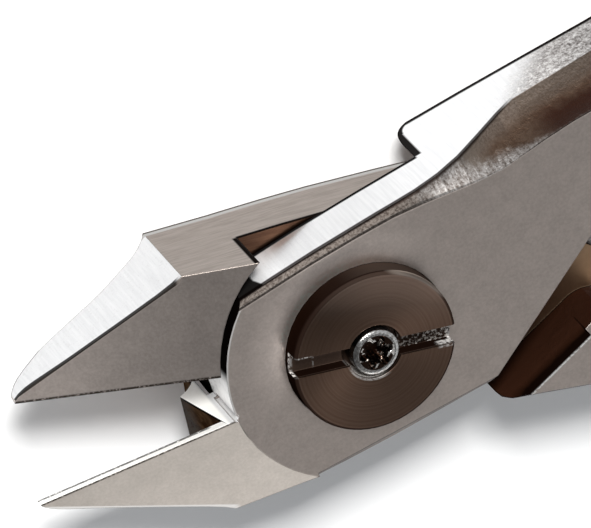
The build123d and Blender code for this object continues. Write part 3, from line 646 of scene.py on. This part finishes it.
def grip_mesh(name, a, h, profile, rings, seg=96, closed_end=True, inner=None):
    """Skin along the handle.  profile(x, t) gives how far the surface lies inside the full section at the angle t,
    t = 0 on the palm side, 90 degrees on top."""
    verts, faces = [], []
    ca, sa = math.cos(a), math.sin(a)

    def ring(x, shrink, f):
        y, wa, wb = at(x)
        y1 = at(x + 0.3)[0] if x + 0.3 < GRIP[-1][0] else y
        y0 = at(x - 0.3)[0] if x - 0.3 > GRIP[0][0] else y
        run = (0.6 if (x + 0.3 < GRIP[-1][0] and x - 0.3 > GRIP[0][0]) else 0.3)
        sl = (y1 - y0) / run
        ln = math.hypot(1.0, sl)
        ox, oy = -sl / ln, 1.0 / ln
        start = len(verts)
        for i in range(seg):
            t = 2 * math.pi * i / seg
            e = 2.0 / 2.75
            cx, cz = math.cos(t), math.sin(t)
            ux = math.copysign(abs(cx) ** e, cx)
            uz = math.copysign(abs(cz) ** e, cz)
            d = f(x, t)
            A, B = max(0.01, wa * shrink - 0.10 - d), max(0.01, wb * shrink - 0.10 - d)
            px, py, pz = x + ox * ux * A, y + oy * ux * A, GRIP_ZC + uz * B
            py *= h
            verts.append(((ca * px - sa * py) * MM, (sa * px + ca * py) * MM, pz * MM))
        return start

    def join(p, q):
        for i in range(seg):
            j = (i + 1) % seg
            f = (p + i, p + j, q + j, q + i)
            faces.append(f if h > 0 else tuple(reversed(f)))

    starts = [ring(x, sh, profile) for x, sh in rings]
    for p, q in zip(starts, starts[1:]):
        join(p, q)
    if inner:
        ins = [ring(x, 1.0, (lambda d: (lambda xx, tt: d))(d)) for x, d in inner]
        join(ins[0], starts[0])
        for p, q in zip(ins[1:], ins):
            join(p, q)
        f = tuple(range(ins[-1], ins[-1] + seg))
        faces.append(f if h > 0 else tuple(reversed(f)))
    else:
        f = tuple(range(starts[0], starts[0] + seg))
        faces.append(tuple(reversed(f)) if h > 0 else f)
    if closed_end:
        f = tuple(range(starts[-1], starts[-1] + seg))
        faces.append(f if h > 0 else tuple(reversed(f)))
    me = bpy.data.meshes.new(name)
    me.from_pydata(verts, [], faces)
    me.validate()
    for pl in me.polygons:
        pl.use_smooth = True
    bm = bmesh.new()
    bm.from_mesh(me)
    bmesh.ops.recalc_face_normals(bm, faces=bm.faces)
    bm.to_mesh(me)
    bm.free()
    o = bpy.data.objects.new(name, me)
    bpy.context.scene.collection.objects.link(o)
    return o


PANEL_X, PANEL_L = 66.0, 15.5     # centre and half length of the inlay on the top
RIB_X0, RIB_X1, RIB_STEP = 31.8, 50.5, 1.7


def cover_profile(x, t):
    """Depth below the full section."""
    d = 0.0
    c = math.cos(t)
    s = math.sin(t)
    # transverse ribs on the palm side near the front
    win = bell(abs(math.degrees(math.atan2(s, c))), -1.0, 46.0, 14.0) * bell(x, RIB_X0, RIB_X1, 1.2)
    d += win * 0.42 * (0.5 + 0.5 * math.cos(2 * math.pi * (x - RIB_X0) / RIB_STEP)) ** 1.4
    # lengthwise hollow for the fingers on the inner side
    win = bell(abs(math.degrees(math.atan2(s, -c))), -1.0, 30.0, 22.0) * bell(x, 40.0, 86.0, 6.0)
    d += win * (0.34 + 0.16 * math.cos(2 * math.pi * (x - 40.0) / 15.0))
    # seat of the inlay on the top
    if s > 0:
        half = 2.05 * math.sqrt(max(0.0, 1 - ((x - PANEL_X) / (PANEL_L + 0.35)) ** 2))
        wy = abs(c) ** (2.0 / 2.75) * (at(x)[1] - 0.1)
        d += 0.42 * bell(wy, -1.0, max(half, -0.9) if half > 0.05 else -5.0, 0.14)
    # raised guard at the front, then a shallow neck
    d += 0.55 * bell(x, 28.9, 30.4, 0.9)
    return d


def cover_rubber(name, obj, a):
    k = Net(name)
    p = k.map(k.tc.outputs["Object"], rot=(0, 0, -a), scale=(1000, 1000, 1000))
    x, y, z = k.xyz(p)
    fine = k.noise(p, 6.0, 3, 0.6)
    pores = k.cells(p, 3.2)
    cloud = k.noise(p, 0.25, 3, 0.6)
    base = k.mix(k.step(fine, 0.3, 0.7), (0.018, 0.070, 0.150), (0.026, 0.092, 0.185))
    base = k.mix(k.mul(k.step(cloud, 0.5, 0.8), 0.25), base, (0.040, 0.115, 0.205))
    k.put(k.b.inputs["Base Color"], base)
    k.b.inputs["Specular IOR Level"].default_value = 0.42
    k.put(k.b.inputs["Roughness"], k.lerp(fine, 0.44, 0.58))
    k.put(k.b.inputs["Normal"], k.bump(k.add(k.mul(fine, 0.5), k.mul(k.step(pores, 0.15, 0.45), 0.5)), 0.00003, 0.7))
    k.done(obj)


def dark_plastic(name, obj, a):
    k = Net(name)
    p = k.map(k.tc.outputs["Object"], rot=(0, 0, -a), scale=(1000, 1000, 1000))
    fine = k.noise(p, 5.0, 4, 0.65)
    grain = k.cells(p, 4.2)
    k.put(k.b.inputs["Base Color"], k.mix(fine, (0.014, 0.014, 0.015), (0.034, 0.034, 0.037)))
    k.put(k.b.inputs["Roughness"], k.lerp(fine, 0.38, 0.54))
    soft_n, edge = k.rounded(0.12)
    k.put(k.b.inputs["Normal"], k.bump(k.add(k.mul(fine, 0.5), k.mul(grain, 0.6)), 0.00004, 0.7, soft_n))
    k.done(obj)


def inlay_mesh(name, a, h):
    """Long oval inlay with lengthwise ridges, seated in the cover's top."""
    nx, ny = 120, 28
    verts, faces = [], []
    ca, sa = math.cos(a), math.sin(a)

    def put(x, off, z):
        y = at(x)[0]
        sl = (at(x + 0.3)[0] - at(x - 0.3)[0]) / 0.6
        ln = math.hypot(1.0, sl)
        px, py = x - sl / ln * off, (y + off / ln) * h
        verts.append(((ca * px - sa * py) * MM, (sa * px + ca * py) * MM, z * MM))
        return len(verts) - 1

    def z_top(x, off):
        _, wa, wb = at(x)
        u = min(0.999, abs(off) / (wa - 0.1))
        return GRIP_ZC + (wb - 0.1) * (1 - u ** 2.75) ** (1 / 2.75)

    grid = []
    for i in range(nx + 1):
        f = -math.cos(math.pi * i / nx)
        x = PANEL_X + PANEL_L * f
        half = 1.95 * math.sqrt(max(0.0004, 1 - f * f))
        row = []
        for j in range(ny + 1):
            g = -1 + 2 * j / ny
            off = half * g
            brim = min(1.0, (1 - abs(g)) * half / 0.16, (PANEL_L - abs(x - PANEL_X)) / 0.16)
            ridge = 0.5 + 0.5 * math.cos(2 * math.pi * off / 0.78)
            z = z_top(x, off) - 0.36 + 0.22 * math.sqrt(max(0.0, brim)) + 0.14 * ridge * min(1.0, max(0.0, brim - 0.2))
            row.append(put(x, off, z))
        grid.append(row)
    low = []
    for i in range(nx + 1):
        f = -math.cos(math.pi * i / nx)
        x = PANEL_X + PANEL_L * f
        half = 1.95 * math.sqrt(max(0.0004, 1 - f * f))
        low.append([put(x, half * (-1 + 2 * j / ny), z_top(x, half * (-1 + 2 * j / ny)) - 0.62) for j in range(ny + 1)])
    for i in range(nx):
        for j in range(ny):
            faces.append((grid[i][j], grid[i + 1][j], grid[i + 1][j + 1], grid[i][j + 1]))
            faces.append((low[i][j], low[i][j + 1], low[i + 1][j + 1], low[i + 1][j]))
    for i in range(nx):
        faces.append((grid[i][0], low[i][0], low[i + 1][0], grid[i + 1][0]))
        faces.append((grid[i][ny], grid[i + 1][ny], low[i + 1][ny], low[i][ny]))
    for j in range(ny):
        faces.append((grid[0][j], grid[0][j + 1], low[0][j + 1], low[0][j]))
        faces.append((grid[nx][j], low[nx][j], low[nx][j + 1], grid[nx][j + 1]))
    me = bpy.data.meshes.new(name)
    me.from_pydata(verts, [], faces)
    bm = bmesh.new()
    bm.from_mesh(me)
    bmesh.ops.recalc_face_normals(bm, faces=bm.faces)
    bm.to_mesh(me)
    bm.free()
    for pl in me.polygons:
        pl.use_smooth = True
    o = bpy.data.objects.new(name, me)
    bpy.context.scene.collection.objects.link(o)
    return o


for who, a, h in (("front", OPEN, 1), ("back", -OPEN, -1)):
    body = who + "_body"
    rings = []
    # rolled front edge
    for i in range(7):
        q = math.radians(90 - 15 * i)
        rings.append((GX0 + 0.35 * (1 - math.cos(math.radians(15 * i))), 1.0 - 0.085 * (1 - math.cos(q)) if i else 0.915))
    n = 330
    x_body0, x_body1 = GX0 + 0.40, 93.4
    for i in range(n + 1):
        rings.append((x_body0 + (x_body1 - x_body0) * i / n, 1.0))
    # domed rear end
    for i in range(1, 15):
        q = math.radians(90 * i / 14)
        rings.append((x_body1 + (GX1 - x_body1) * math.sin(q), max(0.04, math.cos(q) ** 0.72)))
    cover = grip_mesh(who + "_grip_sleeve", a, h, cover_profile, rings,
                      inner=[(GX0 + 0.02, 1.05), (GX0 + 0.2, 1.16), (GX0 + 2.5, 1.16)])
    cover_rubber(who + "_grip_sleeve", cover, a)
    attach(cover, body)
    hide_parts(who + "_grip_cover")
    inlay = inlay_mesh(who + "_grip_inlay", a, h)
    dark_plastic(who + "_grip_inlay", inlay, a)
    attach(inlay, body)
    dark_plastic(who + "_grip_core", nodes[who + "_grip_core"], a)

# ------------------------------------------------------------------ floor and light
floor_mesh = bpy.data.meshes.new("floor")
S = 3.0
floor_mesh.from_pydata([(-S, -S, FLOOR_Z), (S, -S, FLOOR_Z), (S, S, FLOOR_Z), (-S, S, FLOOR_Z)], [], [(0, 1, 2, 3)])
floor = bpy.data.objects.new("floor", floor_mesh)
bpy.context.scene.collection.objects.link(floor)
k = Net("floor")
paper = k.noise(k.map(k.tc.outputs["Object"], scale=(1000, 1000, 1000)), 0.8, 3, 0.6)
k.put(k.b.inputs["Base Color"], k.mix(paper, (0.90, 0.906, 0.916), (0.915, 0.92, 0.93)))
k.b.inputs["Roughness"].default_value = 0.9
k.b.inputs["Specular IOR Level"].default_value = 0.1
geo = k.new("ShaderNodeNewGeometry")
clear = k.new("ShaderNodeBsdfTransparent")
mixer = k.new("ShaderNodeMixShader")
k.t.links.new(geo.outputs["Backfacing"], mixer.inputs[0])
k.t.links.new(k.b.outputs[0], mixer.inputs[1])
k.t.links.new(clear.outputs[0], mixer.inputs[2])
k.t.links.new(mixer.outputs[0], k.out.inputs["Surface"])
k.done(floor)

world = bpy.data.worlds.new("studio")
bpy.context.scene.world = world
world.use_nodes = True
wt = world.node_tree
wt.nodes.clear()
wo = wt.nodes.new("ShaderNodeOutputWorld")
bg = wt.nodes.new("ShaderNodeBackground")
bg.inputs["Color"].default_value = (0.95, 0.975, 1.0, 1)
bg.inputs["Strength"].default_value = 0.33
wt.links.new(bg.outputs[0], wo.inputs["Surface"])


def soft_light(name, place, aim, size, power, colour=(1, 1, 1), shape="RECTANGLE", size_y=None):
    d = bpy.data.lights.new(name, "AREA")
    d.shape = shape
    d.size = size
    if size_y:
        d.size_y = size_y
    d.energy = power
    d.color = colour
    o = bpy.data.objects.new(name, d)
    bpy.context.scene.collection.objects.link(o)
    o.location = place
    o.rotation_euler = (Vector(aim) - Vector(place)).to_track_quat("-Z", "Y").to_euler()
    o.visible_camera = False
    return o


soft_light("key", (-0.10, 0.55, 0.55), (0, 0, 0), 0.17, 9.2, (1.0, 0.99, 0.97), size_y=0.17)
soft_light("fill", (-0.02, -0.71, 0.55), (0, 0, 0), 0.60, 0.80, (1.0, 0.98, 0.955), size_y=0.30)
